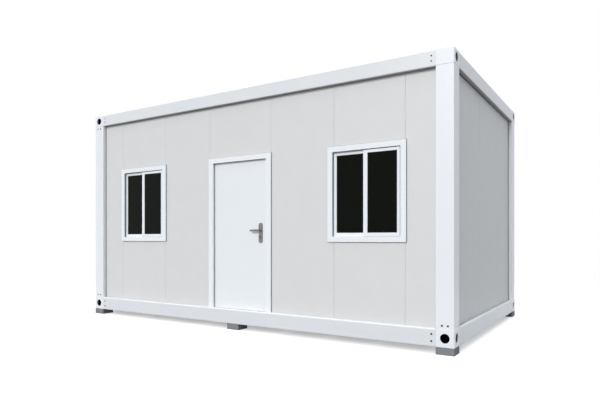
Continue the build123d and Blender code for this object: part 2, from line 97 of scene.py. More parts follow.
def calculate(tree, operation, *values):
    """Adds a sum of one kind; each value is a number or the output that feeds it."""
    node = tree.nodes.new("ShaderNodeMath")
    node.operation = operation
    for number, value in enumerate(values):
        if isinstance(value, (int, float)):
            node.inputs[number].default_value = value
        else:
            tree.links.new(value, node.inputs[number])
    return node.outputs["Value"]


def blend_colours(tree, share, first, second):
    """Mixes two colours by a share; each colour is given or comes from an output."""
    node = tree.nodes.new("ShaderNodeMix")
    node.data_type = "RGBA"
    tree.links.new(share, node.inputs["Factor"])
    colour_inputs = [socket for socket in node.inputs if socket.type == "RGBA"]
    for socket, colour in zip(colour_inputs, (first, second)):
        if isinstance(colour, tuple):
            socket.default_value = colour
        else:
            tree.links.new(colour, socket)
    return next(socket for socket in node.outputs if socket.type == "RGBA")


def tint_surface(tree, shader, share, first, second):
    """Sends a mix of two colours to the shader as its base colour."""
    tree.links.new(blend_colours(tree, share, first, second), shader.inputs["Base Color"])


def raise_surface(tree, shader, height, depth, strength=1.0):
    """Sends a height over the surface to the shader as a bump of a real depth."""
    bump = place_node(tree, "ShaderNodeBump", Strength=strength, Distance=depth)
    tree.links.new(height, bump.inputs["Height"])
    tree.links.new(bump.outputs["Normal"], shader.inputs["Normal"])


def dress(finish, *node_names):
    """Puts one finish on pieces of the frame."""
    for node_name in node_names:
        for material_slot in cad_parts[node_name].material_slots:
            material_slot.material = finish


concrete, tree, shader = new_finish("cast_concrete", foot_roughness)
shader.inputs["Specular IOR Level"].default_value = foot_gloss
clouds = lay_pattern(
    tree,
    "ShaderNodeTexNoise",
    Scale=foot_cloud_scale,
    Detail=foot_cloud_detail,
    Roughness=foot_cloud_roughness,
)
pits = lay_pattern(tree, "ShaderNodeTexVoronoi", Scale=foot_pit_scale)
pit_rim = place_node(tree, "ShaderNodeMapRange", From_Max=foot_pit_edge)
tree.links.new(pits.outputs["Distance"], pit_rim.inputs["Value"])
foot_relief = calculate(tree, "MULTIPLY", clouds.outputs["Fac"], pit_rim.outputs["Result"])
tint_surface(tree, shader, foot_relief, foot_dark, foot_light)
raise_surface(tree, shader, foot_relief, foot_pit_depth)
dress(concrete, "support_feet")

# Steel frame: folded sheet beams and posts between hollow corner fittings, all sprayed with gloss white
# paint.
# The beams take greyer copies of the paint, the bottom beams the greyest, as painted shade. The spray leaves
# a fine peel, and the insides of the fittings' lifting holes are coloured near black and dull as painted
# shade.
frame_white = (0.815, 0.822, 0.842, 1)
# The beam and bottom beam whites are darker copies of the frame white: painted shade.
beam_shaded_white = (0.735, 0.745, 0.766, 1)
base_shaded_white = (0.700, 0.712, 0.735, 1)
frame_spray = dict(cloud_scale=1.6, cloud_depth=0.05, peel_scale=260.0, peel_depth=0.00025, roughness=0.30)
coat_cloud_detail = 5.0
coat_cloud_roughness = 0.6
coat_peel_detail = 2.0
coat_gloss_swing = 0.12
noise_middle = 0.5
# Near black colour inside the lifting holes: painted shade.
hole_shade_black = (0.012, 0.012, 0.013, 1)
fitting_skin = 0.008
fitting_end_skin = 0.035
fitting_size = 0.190


def finish_group(name, inputs, outputs):
    """A node group with named sockets, for an effect that several finishes share."""
    group = bpy.data.node_groups.new(name, "ShaderNodeTree")
    for socket_name, socket_type in inputs:
        group.interface.new_socket(socket_name, in_out="INPUT", socket_type=socket_type)
    for socket_name, socket_type in outputs:
        group.interface.new_socket(socket_name, in_out="OUTPUT", socket_type=socket_type)
    return group, group.nodes.new("NodeGroupInput").outputs, group.nodes.new("NodeGroupOutput").inputs


def place_group(tree, group, **values):
    """Places a shared effect in a finish with its own values, and gives its outputs."""
    node = tree.nodes.new("ShaderNodeGroup")
    node.node_tree = group
    set_inputs(node, values)
    return node.outputs


def swing_about(tree, middle, swing, noise):
    """A value that swings about its middle with a noise."""
    offset = calculate(tree, "SUBTRACT", noise, noise_middle)
    return calculate(tree, "MULTIPLY_ADD", offset, swing, middle)


def combine(tree, operation, *values):
    """Adds a sum of one kind on whole points."""
    node = tree.nodes.new("ShaderNodeVectorMath")
    node.operation = operation
    for number, value in enumerate(values):
        tree.links.new(value, node.inputs[number])
    return node.outputs["Vector"]


coat_inputs = (
    ("Colour", "NodeSocketColor"),
    ("Cloud scale", "NodeSocketFloat"),
    ("Cloud depth", "NodeSocketFloat"),
    ("Peel scale", "NodeSocketFloat"),
    ("Roughness", "NodeSocketFloat"),
)
surface_outputs = (
    ("Colour", "NodeSocketColor"),
    ("Roughness", "NodeSocketFloat"),
    ("Height", "NodeSocketFloat"),
)
sprayed_coat, given, result = finish_group("sprayed_coat", coat_inputs, surface_outputs)
clouds = lay_pattern(
    sprayed_coat, "ShaderNodeTexNoise", Detail=coat_cloud_detail, Roughness=coat_cloud_roughness
)
sprayed_coat.links.new(given["Cloud scale"], clouds.inputs["Scale"])
peel = lay_pattern(sprayed_coat, "ShaderNodeTexNoise", Detail=coat_peel_detail)
sprayed_coat.links.new(given["Peel scale"], peel.inputs["Scale"])
shaded = sprayed_coat.nodes.new("ShaderNodeVectorMath")
shaded.operation = "SCALE"
sprayed_coat.links.new(given["Colour"], shaded.inputs["Vector"])
cloud_shade = swing_about(sprayed_coat, 1.0, given["Cloud depth"], clouds.outputs["Fac"])
sprayed_coat.links.new(cloud_shade, shaded.inputs["Scale"])
peel_gloss = swing_about(sprayed_coat, given["Roughness"], coat_gloss_swing, peel.outputs["Fac"])
sprayed_coat.links.new(shaded.outputs["Vector"], result["Colour"])
sprayed_coat.links.new(peel_gloss, result["Roughness"])
sprayed_coat.links.new(peel.outputs["Fac"], result["Height"])

box_inputs = (("Low corner", "NodeSocketVector"), ("High corner", "NodeSocketVector"))
within_box, given, result = finish_group("within_box", box_inputs, (("Mask", "NodeSocketFloat"),))
coords = within_box.nodes.new("ShaderNodeTexCoord").outputs["Object"]
mirrored = combine(within_box, "ABSOLUTE", coords)
inside = combine(
    within_box,
    "MINIMUM",
    combine(within_box, "SUBTRACT", mirrored, given["Low corner"]),
    combine(within_box, "SUBTRACT", given["High corner"], mirrored),
)
parts = within_box.nodes.new("ShaderNodeSeparateXYZ")
within_box.links.new(inside, parts.inputs["Vector"])
nearest = calculate(within_box, "MINIMUM", parts.outputs["X"], parts.outputs["Y"])
nearest = calculate(within_box, "MINIMUM", nearest, parts.outputs["Z"])
within_box.links.new(calculate(within_box, "GREATER_THAN", nearest, 0.0), result["Mask"])


def box_mask(tree, low, high):
    """The mask of a box that the finish marks on all four corners alike."""
    return place_group(tree, within_box, Low_corner=low, High_corner=high)["Mask"]


def blacken(tree, shader, surface, black, masks):
    """Paints an effect black and dull where either of two masks lies, as painted shade, and gives the mask
    of both.
    """
    mask = calculate(tree, "MAXIMUM", *masks)
    tint_surface(tree, shader, mask, surface["Colour"], black)
    tree.links.new(calculate(tree, "MAXIMUM", surface["Roughness"], mask), shader.inputs["Roughness"])
    return mask


def show_surface(tree, shader, surface, depth):
    """Sends an effect's colour, roughness and height to the shader."""
    tree.links.new(surface["Colour"], shader.inputs["Base Color"])
    tree.links.new(surface["Roughness"], shader.inputs["Roughness"])
    raise_surface(tree, shader, surface["Height"], depth)


def coated(name, colour, cloud_scale, cloud_depth, peel_scale, peel_depth, roughness):
    """A finish with the sprayed coat on it, its tree, its shader and the coat's outputs."""
    finish, tree, shader = new_finish(name, roughness)
    coat = place_group(
        tree,
        sprayed_coat,
        Colour=colour,
        Cloud_scale=cloud_scale,
        Cloud_depth=cloud_depth,
        Peel_scale=peel_scale,
        Roughness=roughness,
    )
    show_surface(tree, shader, coat, peel_depth)
    return finish, tree, shader, coat


# The beams and bottom beams wear the darker copies of the frame paint, as painted shade.
beam_shaded_paint = coated("beam_shaded_paint", beam_shaded_white, **frame_spray)[0]
base_shaded_paint = coated("base_shaded_paint", base_shaded_white, **frame_spray)[0]
for side in ("front", "right", "back", "left"):
    dress(beam_shaded_paint, f"top_{side}_beam")
    dress(base_shaded_paint, f"bottom_{side}_beam")
post_paint = coated("post_paint", frame_white, **frame_spray)[0]
dress(post_paint, "front_left_post", "front_right_post", "back_right_post", "back_left_post")

fitting_paint, tree, shader, coat = coated("fitting_paint", frame_white, **frame_spray)
# Masks of the lifting holes' insides, which are coloured near black as painted shade.
hole_shade_masks = []
for level in ("bottom", "top"):
    low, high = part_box(f"{level}_corner_fittings")
    inner = (
        high[0] - fitting_size + fitting_skin,
        high[1] - fitting_size + fitting_skin,
        low[2] + fitting_skin,
    )
    outer = (high[0] - fitting_end_skin, high[1] - fitting_skin, high[2] - fitting_skin)
    hole_shade_masks.append(box_mask(tree, inner, outer))
hole_shade_mask = blacken(tree, shader, coat, hole_shade_black, hole_shade_masks)
tree.links.new(hole_shade_mask, shader.inputs["Metallic"])
dress(fitting_paint, "bottom_corner_fittings", "top_corner_fittings")

# Frame bolts: cap bolts with a low round head and a socket. Two hold each end of a beam and two each end of
# a post's face to the corner fittings, but for the head of the front right post's front face. Those on the
# ends of the cabin are painted over.
bolt_dark = (0.022, 0.023, 0.025, 1)
bolt_light = (0.034, 0.035, 0.037, 1)
bolt_radius = 0.0112
bolt_rim = 0.0020
top_bolt_size = 0.8
bolt_washer = 0.0008
bolt_crown = 0.0018
bolt_socket_rim = 0.0030
bolt_socket_depth = 0.0014
bolt_sides = 12
bolt_seam = 0.044
bolt_pair = 0.030
bolt_post_rise = 0.039
bottom_bolt_rises = (0.054, 0.126)
top_bolt_drops = (0.050, 0.103)
plating_cloud_detail = 3.0
plating_gloss_swing = 0.2
squarely = 0.9


def start_piece(add, scale=(1, 1, 1), **placing):
    """Starts a new piece from a primitive, with nothing else selected and its place in its mesh."""
    bpy.ops.object.select_all(action="DESELECT")
    add(**placing)
    piece = bpy.context.object
    piece.scale = scale
    bpy.ops.object.transform_apply(location=True, rotation=True, scale=True)
    return piece


def start_disc(radius, thickness, sides):
    """Starts a small round head from a disc that stands on its underside."""
    return start_piece(
        bpy.ops.mesh.primitive_cylinder_add,
        vertices=sides,
        radius=radius,
        depth=thickness,
        location=(0, 0, thickness / 2),
    )


def pick_faces(piece, outward):
    """In edit mode, selects only the faces that look squarely outwards."""
    bpy.ops.mesh.select_mode(type="FACE")
    bpy.ops.mesh.select_all(action="DESELECT")
    bpy.ops.object.mode_set(mode="OBJECT")
    for face in piece.data.polygons:
        face.select = face.normal.dot(outward) > squarely
    bpy.ops.object.mode_set(mode="EDIT")


def raise_faces(piece, outward, *steps):
    """Insets and extrudes the faces that look outwards; each step is a rim and a height."""
    outward = Vector(outward)
    bpy.ops.object.mode_set(mode="EDIT")
    pick_faces(piece, outward)
    for rim, height in steps:
        bpy.ops.mesh.inset(thickness=rim)
        bpy.ops.mesh.extrude_region_move(TRANSFORM_OT_translate={"value": outward * height})
    bpy.ops.object.mode_set(mode="OBJECT")


def copy_to(pattern, place, outward, size=1.0):
    """A copy of a small piece with its own mesh, set down at a place and facing outwards."""
    turn = Vector((0, 0, 1)).rotation_difference(Vector(outward)).to_matrix().to_4x4()
    copied = pattern.copy()
    copied.data = pattern.data.copy()
    copied.data.transform(Matrix.Translation(place) @ turn @ Matrix.Scale(size, 4))
    bpy.context.scene.collection.objects.link(copied)
    return copied


def join_pieces(pieces, name):
    """Joins pieces to one and names it."""
    bpy.ops.object.select_all(action="DESELECT")
    for piece in pieces:
        piece.select_set(True)
    bpy.context.view_layer.objects.active = pieces[0]
    bpy.ops.object.join()
    joined = bpy.context.object
    joined.name = name
    joined.data.name = name
    return joined


def fit_piece(piece, finish, body):
    """Gives a new piece its finish, the body it moves with and the slot it takes its finish from."""
    piece.data.materials.clear()
    piece.data.materials.append(finish)
    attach(piece, body)


def plated(name, dark, light, cloud_scale, roughness, metallic):
    """A plated metal with a faint cloud in the plating."""
    finish, tree, shader = new_finish(name, roughness)
    shader.inputs["Metallic"].default_value = metallic
    clouds = lay_pattern(tree, "ShaderNodeTexNoise", Scale=cloud_scale, Detail=plating_cloud_detail)
    tint_surface(tree, shader, clouds.outputs["Fac"], dark, light)
    gloss = swing_about(tree, roughness, plating_gloss_swing, clouds.outputs["Fac"])
    tree.links.new(gloss, shader.inputs["Roughness"])
    return finish


bolt = start_disc(bolt_radius, bolt_washer, bolt_sides)
raise_faces(bolt, (0, 0, 1), (bolt_rim, bolt_crown), (bolt_socket_rim, -bolt_socket_depth))

beam_low, beam_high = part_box("bottom_front_beam")
end_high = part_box("bottom_right_beam")[1]
post_low, post_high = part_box("front_right_post")
frame_bottom = beam_low[2]
frame_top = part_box("top_front_beam")[1][2]
long_face = -beam_low[1]
end_face = end_high[0]
beam_end = beam_high[0] - bolt_seam
end_beam_end = end_high[1] - bolt_seam
post_x = cad_box[1][0] - fitting_size / 2
post_y = cad_box[1][1] - fitting_size / 2
beam_levels = [(frame_bottom + rise, 1.0) for rise in bottom_bolt_rises]
beam_levels += [(frame_top - drop, top_bolt_size) for drop in top_bolt_drops]
post_foot = post_low[2] + bolt_post_rise
post_head = post_high[2] - bolt_post_rise
bolts = []
painted_bolts = []
for across in (-1, 1):
    for along in (-1, 1):
        for level, size in beam_levels:
            place = (along * beam_end, across * long_face, level)
            bolts.append(copy_to(bolt, place, (0, across, 0), size))
            place = (along * end_face, across * end_beam_end, level)
            painted_bolts.append(copy_to(bolt, place, (along, 0, 0), size))
        for level in (post_foot, post_head):
            for shift in (-bolt_pair, bolt_pair):
                bare_face = along > 0 > across and level == post_head
                if not bare_face:
                    place = (along * post_x + shift, across * long_face, level)
                    bolts.append(copy_to(bolt, place, (0, across, 0)))
                place = (along * end_face, across * post_y + shift, level)
                painted_bolts.append(copy_to(bolt, place, (along, 0, 0)))
bpy.data.objects.remove(bolt)
bolt_plating = plated("dark_plating", bolt_dark, bolt_light, cloud_scale=150.0, roughness=0.55, metallic=0.2)
fit_piece(join_pieces(bolts, "frame_bolts"), bolt_plating, "cabin")
fit_piece(join_pieces(painted_bolts, "frame_end_bolts"), post_paint, "cabin")

# Floor: galvanised channel joists on the beams' lower flanges, and boards on them under a grey floor
# sheet. The zinc shows its crystals, and the boards' joints show faintly in the sheet.
zinc_dark = (0.400, 0.415, 0.430, 1)
zinc_light = (0.560, 0.575, 0.590, 1)
zinc_crystal_scale = 60.0
zinc_metallic = 0.85
zinc_least_roughness = 0.35
zinc_roughness_range = 0.2
sheet_first = (0.225, 0.222, 0.215, 1)
sheet_second = (0.250, 0.246, 0.238, 1)
sheet_joint = (0.120, 0.118, 0.114, 1)
sheet_roughness = 0.5
sheet_fleck_scale = 420.0
sheet_fleck_detail = 2.0
sheet_fleck_strength = 0.35
sheet_fleck_depth = 0.0002
board_length = 2.44
board_width = 1.22
board_joint = 0.004

zinc_roughness = zinc_least_roughness + zinc_roughness_range / 2
galvanised, tree, shader = new_finish("galvanised_steel", zinc_roughness)
shader.inputs["Metallic"].default_value = zinc_metallic
crystals = lay_pattern(tree, "ShaderNodeTexVoronoi", Scale=zinc_crystal_scale)
crystal_tone = tree.nodes.new("ShaderNodeSeparateColor")
tree.links.new(crystals.outputs["Color"], crystal_tone.inputs["Color"])
tint_surface(tree, shader, crystal_tone.outputs["Red"], zinc_dark, zinc_light)
zinc_gloss = calculate(
    tree, "MULTIPLY_ADD", crystal_tone.outputs["Green"], zinc_roughness_range, zinc_least_roughness
)
tree.links.new(zinc_gloss, shader.inputs["Roughness"])
dress(galvanised, "floor_joists")

floor_sheet, tree, shader = new_finish("floor_sheet", sheet_roughness)
boards = lay_pattern(
    tree,
    "ShaderNodeTexBrick",
    Color1=sheet_first,
    Color2=sheet_second,
    Mortar=sheet_joint,
    Scale=1.0,
    Mortar_Size=board_joint,
    Brick_Width=board_length,
    Row_Height=board_width,
)
flecks = lay_pattern(tree, "ShaderNodeTexNoise", Scale=sheet_fleck_scale, Detail=sheet_fleck_detail)
fleck_share = calculate(tree, "MULTIPLY", flecks.outputs["Fac"], sheet_fleck_strength)
tint_surface(tree, shader, fleck_share, boards.outputs["Color"], sheet_joint)
raise_surface(tree, shader, flecks.outputs["Fac"], sheet_fleck_depth)
dress(floor_sheet, "floor_deck")

# Walls: insulated panels with a coated steel skin on both faces, stood on the ledge side by side. The skin
# is a greyer white than the frame, satin, with a fine stipple and a faint cloud from the rolling.
skin_white = (0.673, 0.667, 0.662, 1)
skin_coat = dict(cloud_scale=5.0, cloud_depth=0.06, peel_scale=190.0, peel_depth=0.0004, roughness=0.5)
wall_skin = coated("wall_skin", skin_white, **skin_coat)[0]
dress(
    wall_skin,
    "front_left_end_panel",
    "left_window_panels",
    "front_left_plain_panel",
    "over_door_panel",
    "front_right_plain_panel",
    "right_window_panels",
    "front_right_end_panel",
    "back_wall_panels",
    "left_wall_panels",
    "right_wall_panels",
)

# Wall seals: strips of grey-brown closed-cell foam glued under the top beams and up the corners beside the
# posts, and a dark rubber bead along the head of the panels. They keep the rain out of the wall. Their
# grey-brown and dark colours also stand in for the shade under the top beams and beside the posts: partly
# painted shade.
foam_and_shade_dark = (0.330, 0.312, 0.290, 1)
foam_and_shade_light = (0.420, 0.400, 0.372, 1)
bead_and_shade_dark = (0.100, 0.094, 0.086, 1)
bead_and_shade_light = (0.160, 0.150, 0.138, 1)
seal_roughness = 0.85
seal_pore_scale = 240.0
seal_pore_detail = 4.0
seal_pore_depth = 0.0005
seal_width = 0.050
seal_thickness = 0.003
seal_bead = 0.016
seal_bead_drop = 0.002
corner_bead_width = 0.012
seal_round = 0.0012
seal_gap = 0.0003
round_steps = 2
smooth_angle = math.radians(40)
quarter_turn = math.radians(90)


def soften(piece, radius, steps):
    """Rounds a piece's edges and shades it smooth over them."""
    edge_round = piece.modifiers.new("edge_round", "BEVEL")
    edge_round.width = radius
    edge_round.segments = steps
    edge_round.limit_method = "ANGLE"
    bpy.ops.object.select_all(action="DESELECT")
    piece.select_set(True)
    bpy.context.view_layer.objects.active = piece
    bpy.ops.object.modifier_apply(modifier="edge_round")
    bpy.ops.object.shade_smooth_by_angle(angle=smooth_angle)


def start_block(low, high):
    """Starts a piece from a block between two corners."""
    middle = [(start + end) / 2 for start, end in zip(low, high)]
    size = [end - start for start, end in zip(low, high)]
    return start_piece(bpy.ops.mesh.primitive_cube_add, size=1, location=middle, scale=size)


def head_strip(half_run, near, far, thickness, turn):
    """A strip under the beam of one side, made at the front and turned to its side."""
    strip = start_block((-half_run, -far, seal_top - thickness), (half_run, -near, seal_top))
    soften(strip, seal_round, round_steps)
    strip.data.transform(Matrix.Rotation(turn, 4, "Z"))
    return strip


def corner_bead(first, second):
    """An upright bead between two opposite corners, given in any order."""
    low, high = zip(*(sorted(pair) for pair in zip(first, second)))
    bead = start_block(low, high)
    soften(bead, seal_round, round_steps)
    return bead


def seal_finish(name, dark, light, pore_scale):
    """A dull finish with fine pores, for foam, rubber, pile, sealant and brush."""
    finish, tree, shader = new_finish(name, seal_roughness)
    pores = lay_pattern(tree, "ShaderNodeTexNoise", Scale=pore_scale, Detail=seal_pore_detail)
    tint_surface(tree, shader, pores.outputs["Fac"], dark, light)
    raise_surface(tree, shader, pores.outputs["Fac"], seal_pore_depth)
    return finish


front_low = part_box("over_door_panel")[0]
right_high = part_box("right_wall_panels")[1]
front_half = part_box("front_right_end_panel")[1][0]
seal_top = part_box("top_front_beam")[0][2] - seal_gap
bead_thickness = seal_thickness + seal_bead_drop
wall_runs = ((front_half, -front_low[1]), (right_high[1], right_high[0]))
head_seals = []
head_beads = []
for number, (half_run, wall_face) in enumerate(2 * wall_runs):
    turn = number * quarter_turn
    bead_face = wall_face + seal_bead
    head_seals.append(head_strip(half_run, bead_face, wall_face + seal_width, seal_thickness, turn))
    head_beads.append(head_strip(half_run, wall_face + seal_gap, bead_face, bead_thickness, turn))
# Foam and bead colours are partly painted shade under the beams and beside the posts.
head_foam_and_shade = seal_finish("head_foam_and_shade", foam_and_shade_dark, foam_and_shade_light, seal_pore_scale)
fit_piece(join_pieces(head_seals, "wall_head_seals"), head_foam_and_shade, "cabin")
bead_rubber_and_shade = seal_finish("bead_rubber_and_shade", bead_and_shade_dark, bead_and_shade_light, seal_pore_scale)
fit_piece(join_pieces(head_beads, "wall_head_beads"), bead_rubber_and_shade, "cabin")

ledge_level = beam_high[2]
post_reach = -post_high[1]
bead_head = seal_top - bead_thickness - seal_gap
near_front = seal_gap - front_low[1]
far_front = corner_bead_width - front_low[1]
near_end = right_high[0] + seal_gap
far_end = right_high[0] + corner_bead_width
corner_beads = []
for along in (-1, 1):
    for across in (-1, 1):
        corner_beads.append(
            corner_bead(
                (along * (post_low[0] - bead_thickness), across * near_front, ledge_level),
                (along * post_low[0], across * far_front, bead_head),
            )
        )
        corner_beads.append(
            corner_bead(
                (along * near_end, across * (post_reach - bead_thickness), ledge_level),
                (along * far_end, across * post_reach, bead_head),
            )
        )
fit_piece(join_pieces(corner_beads, "wall_corner_beads"), head_foam_and_shade, "cabin")

# Ledge strips: bright white coated drip strips with a rounded nose, glued along the outer edge of the bottom
# beams' ledge between the posts. Their white, paler than the beams' paint, partly stands for the highlight
# along
# the ledge: partly painted highlight.
strip_white_and_highlight = (0.900, 0.905, 0.910, 1)
strip_coat = dict(cloud_scale=1.4, cloud_depth=0.03, peel_scale=200.0, peel_depth=0.0001, roughness=0.25)
strip_width = 0.034
strip_thickness = 0.018
strip_nose = 0.012
strip_nose_steps = 5
strip_set_back = 0.0005
strip_end_gap = 0.0005
strip_runs = (
    (post_low[0] - strip_end_gap, long_face - strip_set_back),
    (post_reach - strip_end_gap, end_face - strip_set_back),
)
ledge_strips = []
for number, (half_run, outer_face) in enumerate(2 * strip_runs):
    strip = start_block(
        (-half_run, -outer_face, ledge_level),
        (half_run, strip_width - outer_face, ledge_level + strip_thickness),
    )
    bpy.ops.object.mode_set(mode="EDIT")
    pick_faces(strip, Vector((0, 0, 1)))
    bpy.ops.mesh.bevel(offset=strip_nose, segments=strip_nose_steps, affect="EDGES")
    bpy.ops.object.mode_set(mode="OBJECT")
    bpy.ops.object.shade_smooth_by_angle(angle=smooth_angle)
    strip.data.transform(Matrix.Rotation(number * quarter_turn, 4, "Z"))
    ledge_strips.append(strip)
ledge_coat_and_highlight = coated("ledge_coat_and_highlight", strip_white_and_highlight, **strip_coat)[0]
fit_piece(join_pieces(ledge_strips, "ledge_strips"), ledge_coat_and_highlight, "cabin")

# Ceiling: a lining of white coated steel on the flanges of the top beams, seen only from the room. Its
# sheets meet in fine joints across the cabin.
lining_white = (0.740, 0.745, 0.750, 1)
lining_joint = (0.420, 0.425, 0.430, 1)
lining_coat = dict(cloud_scale=2.0, cloud_depth=0.05, peel_scale=220.0, peel_depth=0.0003, roughness=0.55)
lining_sheet = 1.0
lining_run = 8.0
lining_joint_width = 0.004
ceiling_lining, tree, shader, coat = coated("ceiling_lining", lining_white, **lining_coat)
turned = lay_pattern(tree, "ShaderNodeMapping", Rotation=(0, 0, quarter_turn))
sheets = place_node(
    tree,
    "ShaderNodeTexBrick",
    Scale=1.0,
    Mortar_Size=lining_joint_width,
    Brick_Width=lining_run,
    Row_Height=lining_sheet,
)
tree.links.new(turned.outputs["Vector"], sheets.inputs["Vector"])
tint_surface(tree, shader, sheets.outputs["Fac"], coat["Colour"], lining_joint)
dress(ceiling_lining, "ceiling")

# Roof: two slopes of ribbed coated steel under a ridge cap, inside the gutter of the top beams. Washer-head
# screws go through the tops of the ribs and through the cap.
roof_white = (0.600, 0.625, 0.650, 1)
roof_spray = dict(cloud_scale=2.4, cloud_depth=0.10, peel_scale=150.0, peel_depth=0.0004, roughness=0.4)
screw_dark = (0.330, 0.340, 0.350, 1)
screw_light = (0.480, 0.490, 0.500, 1)
screw_washer_radius = 0.009
screw_washer = 0.0015
screw_head_inset = 0.004
screw_head_height = 0.004
screw_sides = 12
screw_rows = (1.45, 0.85, 0.25)
cap_screw_row = 0.11
rib_count = 19
rib_height = 0.020
sheet_thickness = 0.0015
slope_rise = 0.014

roof_coat = coated("roof_coat", roof_white, **roof_spray)[0]
dress(roof_coat, "roof_sheet", "roof_ridge_cap")
screw = start_disc(screw_washer_radius, screw_washer, screw_sides)
raise_faces(screw, (0, 0, 1), (screw_head_inset, screw_head_height))
roof_low, roof_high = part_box("roof_sheet")
rib_step = (roof_high[0] - roof_low[0]) / rib_count
slope_run = roof_high[1]
cap_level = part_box("roof_ridge_cap")[1][2] - slope_rise * cap_screw_row / slope_run
screws = []
for number in range(rib_count):
    rib_x = roof_low[0] + rib_step * (number + 0.5)
    for slope in (-1, 1):
        for row in screw_rows:
            crest = roof_low[2] + sheet_thickness + rib_height + slope_rise * (1 - row / slope_run)
            screws.append(copy_to(screw, (rib_x, slope * row, crest), (0, 0, 1)))
        if number % 2 == 0:
            screws.append(copy_to(screw, (rib_x, slope * cap_screw_row, cap_level), (0, 0, 1)))
bpy.data.objects.remove(screw)
screw_plating = plated(
    "screw_plating", screw_dark, screw_light, cloud_scale=120.0, roughness=0.4, metallic=0.9
)
fit_piece(join_pieces(screws, "roof_screws"), screw_plating, "cabin")

# Windows: white extruded plastic frames with a flange on the wall and two sliding sashes each, glazed with
# dark tinted panes. Black gaskets hold the panes, pile strips seal the empty track on the left, and a black
# head gasket and grey seals edge the right sash. The grey pile and the black head gasket partly stand for
# the shade lines in the track and over the right sash, and the grey seals on that sash's face are painted
# shade for the lines where it meets the frame.
plastic_white = (0.830, 0.848, 0.866, 1)
plastic_skin = dict(cloud_scale=1.2, cloud_depth=0.03, peel_scale=120.0, peel_depth=0.0001, roughness=0.28)
glass_tint = (0.014, 0.018, 0.014, 1)
glass_sheen = (0.85, 1.0, 0.87, 1)
glass_roughness = 0.02
glass_index = 1.20
glass_tint_swing = 0.4
glass_ripple_scale = 2.2
glass_ripple_detail = 1.0
glass_ripple_depth = 0.0004
glass_ripple_strength = 0.3
gasket_dark = (0.010, 0.010, 0.010, 1)
gasket_light = (0.022, 0.022, 0.022, 1)
gasket_pore_scale = 300.0
gasket_width = 0.006
gasket_depth = 0.0020
window_border = 0.062
sash_border = 0.040
sash_meeting = 0.050
pane_thickness = 0.016
pile_and_shade_dark = (0.150, 0.152, 0.156, 1)
pile_and_shade_light = (0.230, 0.233, 0.238, 1)
pile_pore_scale = 700.0
pile_base = 0.017
pile_thickness = 0.0015
pile_rim = 0.0035
pile_height = 0.004
pile_setting = 0.014
head_gasket_height = 0.007
head_gasket_depth = 0.006
sash_seal_thickness = 0.0015
sash_seal_width = 0.009
sash_seal_height = 0.003
chamfer_steps = 1

window_plastic = coated("window_plastic", plastic_white, **plastic_skin)[0]
tinted_glass, tree, shader = new_finish("tinted_glass", glass_roughness)
shader.inputs["Transmission Weight"].default_value = 1.0
shader.inputs["IOR"].default_value = glass_index
shader.inputs["Specular Tint"].default_value = glass_sheen
ripple = lay_pattern(tree, "ShaderNodeTexNoise", Scale=glass_ripple_scale, Detail=glass_ripple_detail)
tint_share = calculate(tree, "MULTIPLY", ripple.outputs["Fac"], glass_tint_swing)
tint_surface(tree, shader, tint_share, glass_tint, gasket_light)
raise_surface(tree, shader, ripple.outputs["Fac"], glass_ripple_depth, glass_ripple_strength)
gasket_rubber = seal_finish("gasket_rubber", gasket_dark, gasket_light, gasket_pore_scale)
grey_pile_and_shade = seal_finish("grey_pile_and_shade", pile_and_shade_dark, pile_and_shade_light, pile_pore_scale)


def upright_ring(left, right, bottom, top, face, width, depth, outward):
    """A flat ring on an upright face, which grows outwards from it: -1 to the front, 1 to the room."""
    ring = start_piece(
        bpy.ops.mesh.primitive_plane_add,
        size=1,
        location=((left + right) / 2, face, (bottom + top) / 2),
        rotation=(quarter_turn, 0, 0),
        scale=(right - left, top - bottom, 1),
    )
    bpy.ops.object.mode_set(mode="EDIT")
    bpy.ops.mesh.select_mode(type="FACE")
    bpy.ops.mesh.select_all(action="SELECT")
    bpy.ops.mesh.inset(thickness=width)
    bpy.ops.mesh.delete(type="FACE")
    bpy.ops.object.mode_set(mode="OBJECT")
    wall = ring.modifiers.new("wall", "SOLIDIFY")
    wall.thickness = depth
    wall.offset = -outward
    bpy.ops.object.modifier_apply(modifier="wall")
    return ring


def pile_strip(low, high, inward):
    """A strip of pile along a track: a flat base with the raised pile on the face that looks inwards."""
    strip = start_block(low, high)
    raise_faces(strip, inward, (pile_rim, pile_height))
    soften(strip, pile_thickness / 3, chamfer_steps)
    return strip


